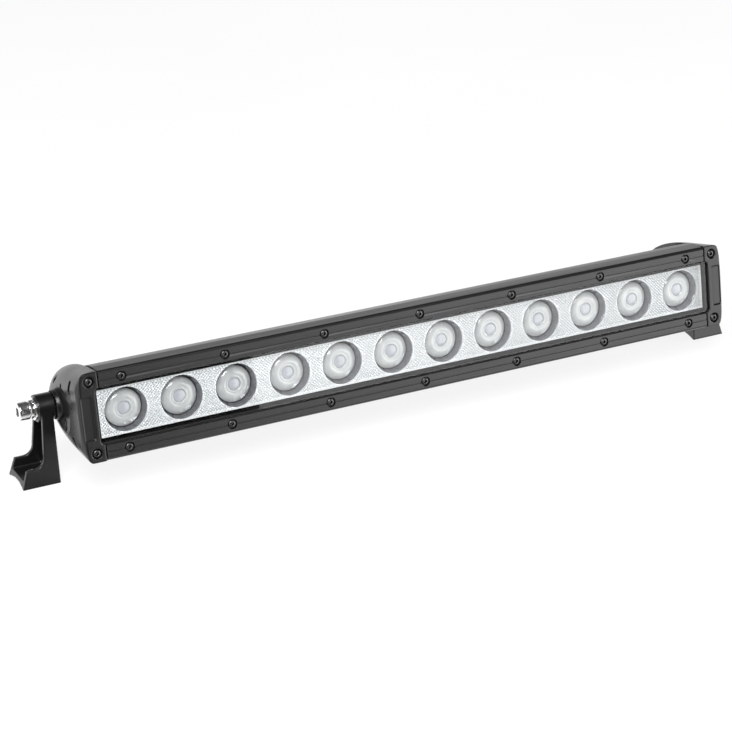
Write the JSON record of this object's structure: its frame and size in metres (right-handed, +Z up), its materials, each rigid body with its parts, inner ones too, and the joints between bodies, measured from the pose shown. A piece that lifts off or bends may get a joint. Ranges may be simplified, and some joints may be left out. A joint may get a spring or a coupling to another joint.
{
  "type": "led light bar",
  "caption": "Straight single-row LED light bar in a finned black aluminium body, with a clear window and a swivel bracket at each end that bolts to a flat surface.",
  "frame": {"origin": "midway between the bolt holes of the two bracket feet, on the mounting plane", "axes": "+X along the bar, +Z up from the mounting plane, and the lights face -Y"},
  "size_m": [0.5836, 0.0937, 0.0925],
  "materials": {
    "black_coated_aluminium": "satin black powder coat",
    "black_anodised_strip": "satin black anodised, fine lengthwise brushing",
    "black_cast_metal": "satin black powder coat on a die casting",
    "black_rubber": "matt",
    "clear_window": "clear polycarbonate, gloss",
    "silver_reflector": "vacuum-metallised, knurled between the bowls",
    "clear_optic": "clear moulded acrylic",
    "emitter": "phosphor on a white package",
    "white_board": "white solder mask on aluminium",
    "grey_pad": "matt",
    "bright_steel": "bright zinc plate",
    "black_steel": "black oxide",
    "green_board": "green solder mask",
    "component_dark": "matt",
    "black_nylon": "moulded, fine grain",
    "black_cable": "semi-matt jacket"
  },
  "bodies": {
    "bracket_left_side": {"bracket_left": "black_cast_metal"},
    "bar": {"housing": "black_coated_aluminium", "bezel_top": "black_anodised_strip", "bezel_bottom": "black_anodised_strip", "end_cap_left": "black_cast_metal", "end_cap_right": "black_cast_metal", "end_gasket_left": "black_rubber", "end_gasket_right": "black_rubber", "front_window": "clear_window", "window_gasket": "black_rubber", "reflector_plate": "silver_reflector", "light_optics": "clear_optic", "led_emitters": "emitter", "led_board": "white_board", "thermal_pad": "grey_pad", "led_board_screws": "bright_steel", "driver_board": "green_board", "driver_coils": "component_dark", "driver_capacitors": "component_dark", "driver_chips": "component_dark", "bezel_screws_top": "black_steel", "bezel_screws_bottom": "black_steel", "end_cap_screws": "black_steel", "cable_gland": "black_nylon", "gland_nut": "black_nylon", "power_cable": "black_cable", "cable_plug": "black_nylon", "breather_vent": "black_nylon", "pivot_bolt_left": "bright_steel", "pivot_bolt_right": "bright_steel", "flat_washer_left": "bright_steel", "flat_washer_right": "bright_steel", "spring_washer_left": "bright_steel", "spring_washer_right": "bright_steel"},
    "bracket_right_side": {"bracket_right": "black_cast_metal"}
  },
  "joints": [
    {"name": "bar_tilt", "type": "hinge", "parent": "bracket_left_side", "child": "bar", "pos_m": [0, 0, 0.0525], "axis": [-1, 0, 0], "range_deg": [-30, 80]},
    {"name": "right_bracket_swivel", "type": "hinge", "parent": "bar", "child": "bracket_right_side", "pos_m": [0, 0, 0.0525], "axis": [-1, 0, 0], "range_deg": [-80, 30]}
  ],
  "couplings": [
    {"joint": "right_bracket_swivel", "follows": "bar_tilt", "ratio": -1}
  ]
}
